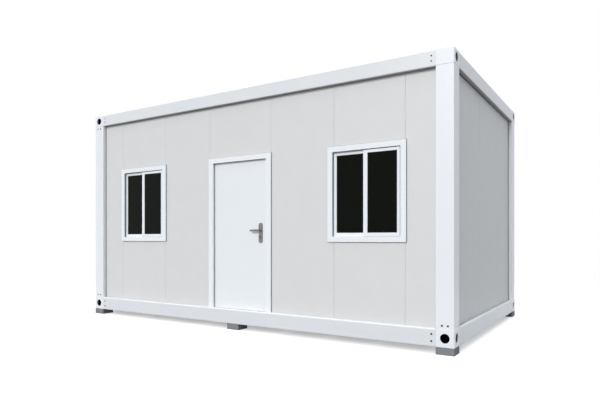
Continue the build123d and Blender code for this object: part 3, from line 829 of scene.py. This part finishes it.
for window in ("left", "right"):
    dress(window_plastic, f"{window}_window_frame", f"{window}_window_sashes")
    dress(tinted_glass, f"{window}_window_glass")
    low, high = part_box(f"{window}_window_frame")
    glass_low, glass_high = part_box(f"{window}_window_glass")
    clear_left = low[0] + window_border
    clear_right = high[0] - window_border
    clear_bottom = low[2] + window_border
    clear_top = high[2] - window_border
    sash_width = (clear_right - clear_left + sash_meeting) / 2
    half_clear = clear_right - sash_width
    left_face = glass_high[1] - pane_thickness
    left_pane = (clear_left + sash_border, clear_left + sash_width - sash_meeting, left_face)
    right_pane = (half_clear + sash_meeting, clear_right - sash_border, glass_low[1])
    pane_bottom = clear_bottom + sash_border
    pane_top = clear_top - sash_border
    gaskets = []
    for pane_left, pane_right, pane_face in (left_pane, right_pane):
        for face, outward in ((pane_face, -1), (pane_face + pane_thickness, 1)):
            place = (pane_left, pane_right, pane_bottom, pane_top, face)
            gaskets.append(upright_ring(*place, gasket_width, gasket_depth, outward))
    fit_piece(join_pieces(gaskets, f"{window}_window_gaskets"), gasket_rubber, "cabin")

    track_front = glass_low[1]
    track_back = track_front + pile_base
    strips = [
        pile_strip(
            (clear_left, track_front, clear_bottom),
            (clear_left + pile_thickness, track_back, clear_top),
            (1, 0, 0),
        ),
        pile_strip(
            (clear_left + pile_setting, track_front, clear_top - pile_thickness),
            (half_clear, track_back, clear_top),
            (0, 0, -1),
        ),
    ]
    seal_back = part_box(f"{window}_window_sashes")[0][1] - seal_gap
    seal_front = seal_back - sash_seal_thickness
    seal_left = clear_right - sash_seal_width
    gasket_foot = clear_top - head_gasket_height
    # The black head gasket partly stands for the dark shade line over the right sash.
    head_gasket = start_block(
        (half_clear, seal_back - head_gasket_depth, gasket_foot),
        (clear_right, seal_back, clear_top),
    )
    soften(head_gasket, head_gasket_height / 4, round_steps)
    # Grey seals on the right sash's face: painted shade for the lines where it meets the frame.
    sash_shade_seals = [
        start_block((seal_left, seal_front, clear_bottom), (clear_right, seal_back, gasket_foot)),
        start_block(
            (half_clear, seal_front, clear_bottom),
            (seal_left, seal_back, clear_bottom + sash_seal_height),
        ),
    ]
    fit_piece(join_pieces(sash_shade_seals, f"{window}_window_sash_seal"), grey_pile_and_shade, "cabin")
    fit_piece(join_pieces(strips, f"{window}_window_pile"), grey_pile_and_shade, "cabin")
    head_gasket.name = f"{window}_window_head_gasket"
    fit_piece(head_gasket, gasket_rubber, "cabin")

# Door frame: folded steel jambs and head in white paint with a dark bubble seal and thin lips on the stop,
# and a ribbed aluminium threshold screwed to the ledge. The dark lips, widest at the head, also stand in for
# the
# shade line round the stop: partly painted shade. The leaf is painted a touch greyer.
door_white = (0.835, 0.848, 0.862, 1)
leaf_white = (0.800, 0.815, 0.833, 1)
door_coat = dict(cloud_scale=1.8, cloud_depth=0.04, peel_scale=240.0, peel_depth=0.0002, roughness=0.35)
door_seal_and_shade_dark = (0.060, 0.062, 0.065, 1)
door_seal_and_shade_light = (0.095, 0.098, 0.102, 1)
door_seal_pore_scale = 260.0
door_seal_width = 0.007
door_seal_depth = 0.0045
door_seal_inset = 0.001
door_lip_width = 0.006
door_head_lip_width = 0.016
door_lip_thickness = 0.0015
stop_depth = 0.034
mill_dark = (0.780, 0.775, 0.760, 1)
mill_light = (0.900, 0.895, 0.880, 1)
mill_grain = dict(stretch=(6.0, 900.0, 900.0), roughness=0.4, depth=0.0002)
grain_detail = 3.0
grain_gloss_swing = 0.25

door_paint = coated("door_paint", door_white, **door_coat)[0]
dress(door_paint, "door_left_jamb", "door_right_jamb", "door_head")
leaf_paint = coated("leaf_paint", leaf_white, **door_coat)[0]
dress(leaf_paint, "door_leaf")

threshold_low, threshold_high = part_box("door_threshold")
leaf_low, leaf_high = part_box("door_leaf")
sill_left = threshold_low[0]
sill_right = threshold_high[0]
sill_top = threshold_high[2]
head_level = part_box("door_head")[0][2]
stop_left = sill_left - door_seal_inset
stop_right = sill_right + door_seal_inset
stop_top = head_level + door_seal_inset
stop_back = threshold_low[1] + stop_depth
seal_runs = (
    ((stop_left - door_seal_width, sill_top), (stop_left, stop_top)),
    ((stop_right, sill_top), (stop_right + door_seal_width, stop_top)),
    ((stop_left - door_seal_width, stop_top), (stop_right + door_seal_width, stop_top + door_seal_width)),
)
door_seals = []
for (left, bottom), (right, top) in seal_runs:
    bead = start_block((left, stop_back, bottom), (right, stop_back + door_seal_depth, top))
    soften(bead, door_seal_depth / 3, round_steps)
    door_seals.append(bead)
# The lips, widest at the head, partly stand for the shade line round the stop.
lip_end = head_level - door_lip_thickness
lip_runs = (
    ((sill_left, sill_top), (sill_left + door_lip_thickness, lip_end), door_lip_width),
    ((sill_right - door_lip_thickness, sill_top), (sill_right, lip_end), door_lip_width),
    ((sill_left, lip_end), (sill_right, head_level), door_head_lip_width),
)
for (left, bottom), (right, top), lip_width in lip_runs:
    lip = start_block((left, stop_back - lip_width, bottom), (right, stop_back, top))
    soften(lip, door_lip_thickness / 3, chamfer_steps)
    door_seals.append(lip)
door_rubber_and_shade = seal_finish("door_seal_rubber", door_seal_and_shade_dark, door_seal_and_shade_light, door_seal_pore_scale)
fit_piece(join_pieces(door_seals, "door_seal"), door_rubber_and_shade, "cabin")

grain_inputs = (
    ("Dark", "NodeSocketColor"),
    ("Light", "NodeSocketColor"),
    ("Stretch", "NodeSocketVector"),
    ("Roughness", "NodeSocketFloat"),
)
drawn_grain, given, result = finish_group("drawn_grain", grain_inputs, surface_outputs)
coords = drawn_grain.nodes.new("ShaderNodeTexCoord").outputs["Object"]
grain = place_node(drawn_grain, "ShaderNodeTexNoise", Scale=1.0, Detail=grain_detail)
drawn_grain.links.new(combine(drawn_grain, "MULTIPLY", coords, given["Stretch"]), grain.inputs["Vector"])
grain_colour = blend_colours(drawn_grain, grain.outputs["Fac"], given["Dark"], given["Light"])
grain_gloss = swing_about(drawn_grain, given["Roughness"], grain_gloss_swing, grain.outputs["Fac"])
drawn_grain.links.new(grain_colour, result["Colour"])
drawn_grain.links.new(grain_gloss, result["Roughness"])
drawn_grain.links.new(grain.outputs["Fac"], result["Height"])


def brushed(name, dark, light, stretch, roughness, depth):
    """A bare metal with a drawn or brushed grain; the stretch is the grain's fineness along each axis."""
    finish, tree, shader = new_finish(name, roughness)
    shader.inputs["Metallic"].default_value = 1.0
    grain = place_group(tree, drawn_grain, Dark=dark, Light=light, Stretch=stretch, Roughness=roughness)
    show_surface(tree, shader, grain, depth)
    return finish, tree, shader, grain


mill_aluminium = brushed("mill_aluminium", mill_dark, mill_light, **mill_grain)[0]
dress(mill_aluminium, "door_threshold")

# Sealant: a grey bead run round the windows and the door frame where they meet the wall, smoothed by hand
# to a narrow fillet. Its grey partly stands for the shade lines along the frames' edges: partly painted
# shade.
sealant_and_shade_dark = (0.135, 0.138, 0.142, 1)
sealant_and_shade_light = (0.200, 0.204, 0.208, 1)
sealant_pore_scale = 350.0
sealant_width = 0.005
sealant_depth = 0.004
jamb_face = 0.077
head_face = 0.066
sealant_back = front_low[1] - seal_gap
sealant_beads = []
for window in ("left", "right"):
    low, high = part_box(f"{window}_window_frame")
    sealant_beads.append(
        upright_ring(
            low[0] - sealant_width,
            high[0] + sealant_width,
            low[2] - sealant_width,
            high[2] + sealant_width,
            sealant_back,
            sealant_width - seal_gap,
            sealant_depth,
            -1,
        )
    )
door_edge_left = sill_left - jamb_face - seal_gap
door_edge_right = sill_right + jamb_face + seal_gap
door_edge_top = head_level + head_face + seal_gap
sealant_runs = (
    (door_edge_left - sealant_width, door_edge_left, ledge_level, door_edge_top),
    (door_edge_right, door_edge_right + sealant_width, ledge_level, door_edge_top),
    (door_edge_left, door_edge_right, door_edge_top, door_edge_top + sealant_width),
)
for left, right, bottom, top in sealant_runs:
    bead = start_block((left, sealant_back - sealant_depth, bottom), (right, sealant_back, top))
    soften(bead, sealant_depth / 3, round_steps)
    sealant_beads.append(bead)
sealant = seal_finish("grey_sealant_and_shade", sealant_and_shade_dark, sealant_and_shade_light, sealant_pore_scale)
fit_piece(join_pieces(sealant_beads, "wall_sealant"), sealant, "cabin")

# Door sweep: a pale grey brush strip in a thin carrier under the leaf, which closes most of the gap over
# the threshold and moves with the door.
sweep_dark = (0.740, 0.745, 0.750, 1)
sweep_light = (0.840, 0.845, 0.850, 1)
sweep_pore_scale = 500.0
sweep_set_back = 0.002
sweep_depth = 0.010
sweep_drop = 0.0045
sweep_end = 0.006
carrier_drop = 0.0015
carrier_rim = 0.002
sweep = start_block(
    (leaf_low[0] + sweep_end, leaf_low[1] + sweep_set_back, leaf_low[2] - carrier_drop),
    (leaf_high[0] - sweep_end, leaf_low[1] + sweep_set_back + sweep_depth, leaf_low[2]),
)
sweep.name = "door_sweep"
raise_faces(sweep, (0, 0, -1), (carrier_rim, sweep_drop - carrier_drop))
sweep_brush = seal_finish("sweep_brush", sweep_dark, sweep_light, sweep_pore_scale)
fit_piece(sweep, sweep_brush, "door")

# Door furniture: lift-off hinges in satin steel, long handle plates and tapered levers in a darker satin, a
# lock cylinder coloured near black with a black keyway mark, partly painted shade for its dark keyhole, and
# the lock's forend on the leaf's edge with its strike on the jamb.
satin_dark = (0.165, 0.157, 0.148, 1)
satin_light = (0.265, 0.255, 0.242, 1)
plate_grain = dict(stretch=(900.0, 900.0, 14.0), roughness=0.34, depth=0.00008)
lever_grain = dict(stretch=(14.0, 900.0, 900.0), roughness=0.30, depth=0.00008)
hinge_dark = (0.360, 0.362, 0.366, 1)
hinge_light = (0.520, 0.522, 0.526, 1)
hinge_grain = dict(stretch=(700.0, 700.0, 30.0), roughness=0.32, depth=0.0001)
cylinder_dark_and_shade = (0.012, 0.011, 0.010, 1)
cylinder_light_and_shade = (0.024, 0.022, 0.020, 1)
cylinder_grain = dict(stretch=(600.0, 40.0, 600.0), roughness=0.28, depth=0.00005)
keyway_painted_shade = (0.006, 0.006, 0.006, 1)
keyway_half_width = 0.0012
keyway_height = 0.010
keyway_depth = 0.0005
plate_screw_inset = 0.022
plate_screw_radius = 0.0042
plate_screw_rim = 0.0009
plate_screw_crown = 0.0008
plate_screw_sides = 16
forend_width = 0.020
forend_length = 0.235
forend_thickness = 0.0006
latch_width = 0.012
latch_length = 0.018
latch_proud = 0.0004
latch_rise = 0.050
leaf_rebate = 0.014

satin_steel = brushed("satin_steel", satin_dark, satin_light, **plate_grain)[0]
dress(satin_steel, "door_handle_plates")
lever_steel = brushed("lever_steel", satin_dark, satin_light, **lever_grain)[0]
dress(lever_steel, "door_levers")
hinge_steel = brushed("hinge_steel", hinge_dark, hinge_light, **hinge_grain)[0]
dress(hinge_steel, "door_hinge_pins", "door_hinge_sleeves")

cylinder_plating_and_shade, tree, shader, grain = brushed(
    "cylinder_plating_and_shade", cylinder_dark_and_shade, cylinder_light_and_shade, **cylinder_grain
)
cylinder_low, cylinder_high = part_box("door_lock_cylinder")
cylinder_x = (cylinder_low[0] + cylinder_high[0]) / 2
cylinder_z = (cylinder_low[2] + cylinder_high[2]) / 2
# The keyway is a black mark, painted shade for the slot.
keyway_shade_masks = []
for face in (-cylinder_low[1], -cylinder_high[1]):
    inner = (cylinder_x - keyway_half_width, face - keyway_depth, cylinder_z - keyway_height / 2)
    outer = (cylinder_x + keyway_half_width, face + keyway_depth, cylinder_z + keyway_height / 2)
    keyway_shade_masks.append(box_mask(tree, inner, outer))
blacken(tree, shader, grain, keyway_painted_shade, keyway_shade_masks)
dress(cylinder_plating_and_shade, "door_lock_cylinder")

plate_low, plate_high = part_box("door_handle_plates")
plate_x = (plate_low[0] + plate_high[0]) / 2
half_crown = plate_screw_crown / 2
plate_screw = start_disc(plate_screw_radius, half_crown, plate_screw_sides)
raise_faces(plate_screw, (0, 0, 1), (plate_screw_rim, half_crown), (plate_screw_rim, -half_crown))
plate_screws = []
for level in (plate_low[2] + plate_screw_inset, plate_high[2] - plate_screw_inset):
    plate_screws.append(copy_to(plate_screw, (plate_x, plate_low[1], level), (0, -1, 0)))
    plate_screws.append(copy_to(plate_screw, (plate_x, plate_high[1], level), (0, 1, 0)))
bpy.data.objects.remove(plate_screw)
fit_piece(join_pieces(plate_screws, "handle_plate_screws"), hinge_steel, "door")


def edge_plate(face, outward, thickness, level, width, length):
    """A thin plate on an upright edge of the leaf or the jamb, in line with the middle of the leaf."""
    middle_y = (leaf_low[1] + leaf_high[1]) / 2
    near, far = sorted((face, face + outward * thickness))
    plate = start_block(
        (near, middle_y - width / 2, level - length / 2),
        (far, middle_y + width / 2, level + length / 2),
    )
    soften(plate, thickness / 4, chamfer_steps)
    return plate


def lock_plate(name, face, outward, body):
    """The forend or the strike, with the latch and the bolt marked on it."""
    lock_z = (plate_low[2] + plate_high[2]) / 2
    outer = face + outward * forend_thickness
    pieces = [edge_plate(face, outward, forend_thickness, lock_z, forend_width, forend_length)]
    for level in (lock_z - latch_rise, lock_z + latch_rise):
        pieces.append(edge_plate(outer, outward, latch_proud, level, latch_width, latch_length))
    fit_piece(join_pieces(pieces, name), hinge_steel, body)


lock_plate("door_lock_forend", leaf_high[0], 1, "door")
lock_plate("door_strike_plate", sill_right + leaf_rebate, -1, "cabin")

# The ground is a wide pale studio floor. It looks white to the camera, keeps the soft shadow under the
# cabin, and gives back only a plain grey light.
floor_span = 400.0
floor_bounce = (0.32, 0.32, 0.32, 1)
floor_seen = (0.92, 0.905, 0.89, 1)
floor_glow = 0.42
floor_fade_start = 4.0
floor_fade_end = 9.0
floor = start_piece(bpy.ops.mesh.primitive_plane_add, size=floor_span, location=(0, 0, 0))
floor.name = "studio_floor"
floor_paint = bpy.data.materials.new("studio_floor_paint")
floor_paint.use_nodes = True
tree = floor_paint.node_tree
tree.nodes.remove(tree.nodes["Principled BSDF"])


def seen_by_eye(tree):
    """One where the camera sees a surface, straight or in metal or glass, and nothing for other light."""
    path = tree.nodes.new("ShaderNodeLightPath").outputs
    mirrored = calculate(tree, "MAXIMUM", path["Is Glossy Ray"], path["Is Transmission Ray"])
    return calculate(tree, "MAXIMUM", path["Is Camera Ray"], mirrored)


def mix_shaders(tree, share, first, second):
    """Mixes two shaders by a share."""
    mix = tree.nodes.new("ShaderNodeMixShader")
    tree.links.new(share, mix.inputs["Fac"])
    tree.links.new(first, mix.inputs[1])
    tree.links.new(second, mix.inputs[2])
    return mix.outputs["Shader"]


reach = lay_pattern(tree, "ShaderNodeVectorMath")
reach.operation = "LENGTH"
fade = place_node(tree, "ShaderNodeMapRange", From_Min=floor_fade_start, From_Max=floor_fade_end)
fade.interpolation_type = "SMOOTHSTEP"
tree.links.new(reach.outputs["Value"], fade.inputs["Value"])
shadowed = place_node(tree, "ShaderNodeBsdfDiffuse", Color=floor_seen)
glow = place_node(tree, "ShaderNodeEmission", Strength=floor_glow)
lit = tree.nodes.new("ShaderNodeAddShader")
tree.links.new(shadowed.outputs["BSDF"], lit.inputs[0])
tree.links.new(glow.outputs["Emission"], lit.inputs[1])
white = place_node(tree, "ShaderNodeEmission", Strength=1.0)
seen = mix_shaders(tree, fade.outputs["Result"], lit.outputs["Shader"], white.outputs["Emission"])
bounce = place_node(tree, "ShaderNodeBsdfDiffuse", Color=floor_bounce)
floor_look = mix_shaders(tree, seen_by_eye(tree), bounce.outputs["BSDF"], seen)
tree.links.new(floor_look, tree.nodes["Material Output"].inputs["Surface"])
floor.data.materials.append(floor_paint)

# The studio light is a pale room, brighter overhead and to the sides and the back, and one broad soft lamp
# low in front, so that the long front is bright and the right end lies in soft shade.
room_blue = (0.86, 0.93, 1.0, 1)
room_white = (1, 1, 1, 1)
room_strength = 0.28
room_overhead = 1.15
room_narrowing = 3.0
room_side = 0.70
room_side_narrowing = 4.0
lamp_strength = 1.98
lamp_softness = 26.0
lamp_tilt = 65.0
lamp_turn = -1.0
world = bpy.data.worlds.new("studio")
bpy.context.scene.world = world
world.use_nodes = True
tree = world.node_tree
room_light = tree.nodes["Background"]
room_light.inputs["Color"].default_value = room_blue
direction = tree.nodes.new("ShaderNodeSeparateXYZ")
tree.links.new(tree.nodes.new("ShaderNodeTexCoord").outputs["Generated"], direction.inputs["Vector"])
upwards = calculate(tree, "MAXIMUM", direction.outputs["Z"], 0.0)
overhead = calculate(tree, "POWER", upwards, room_narrowing)
room_level = calculate(tree, "MULTIPLY_ADD", overhead, room_overhead, room_strength)
either_end = calculate(tree, "ABSOLUTE", direction.outputs["X"])
sideways = calculate(tree, "MAXIMUM", either_end, direction.outputs["Y"])
beside = calculate(tree, "POWER", sideways, room_side_narrowing)
room_level = calculate(tree, "MULTIPLY_ADD", beside, room_side, room_level)
tree.links.new(room_level, room_light.inputs["Strength"])
white_view = place_node(tree, "ShaderNodeBackground", Color=room_white, Strength=1.0)
room_look = mix_shaders(
    tree, seen_by_eye(tree), room_light.outputs["Background"], white_view.outputs["Background"]
)
tree.links.new(room_look, tree.nodes["World Output"].inputs["Surface"])

lamp_data = bpy.data.lights.new("front_lamp", "SUN")
lamp_data.energy = lamp_strength
lamp_data.angle = math.radians(lamp_softness)
lamp = bpy.data.objects.new("front_lamp", lamp_data)
lamp.rotation_euler = (math.radians(lamp_tilt), 0, math.radians(lamp_turn))
bpy.context.scene.collection.objects.link(lamp)

# The camera stands off the right front corner, a little over a metre above the ground. It looks level, so
# that uprights stay upright, and its frame is shifted up to take in the whole height.
camera_place = (4.259, -6.758, 1.170)
camera_turn = 32.38
camera_lens = 31.0
camera_sensor = 36.0
camera_rise = 0.0625
camera_data = bpy.data.cameras.new("camera")
camera_data.sensor_width = camera_sensor
camera_data.lens = camera_lens
camera_data.shift_y = camera_rise
camera = bpy.data.objects.new("camera", camera_data)
camera.location = camera_place
camera.rotation_euler = (quarter_turn, 0, math.radians(camera_turn))
bpy.context.scene.collection.objects.link(camera)
bpy.context.scene.camera = camera
bpy.context.scene.view_settings.view_transform = "Standard"
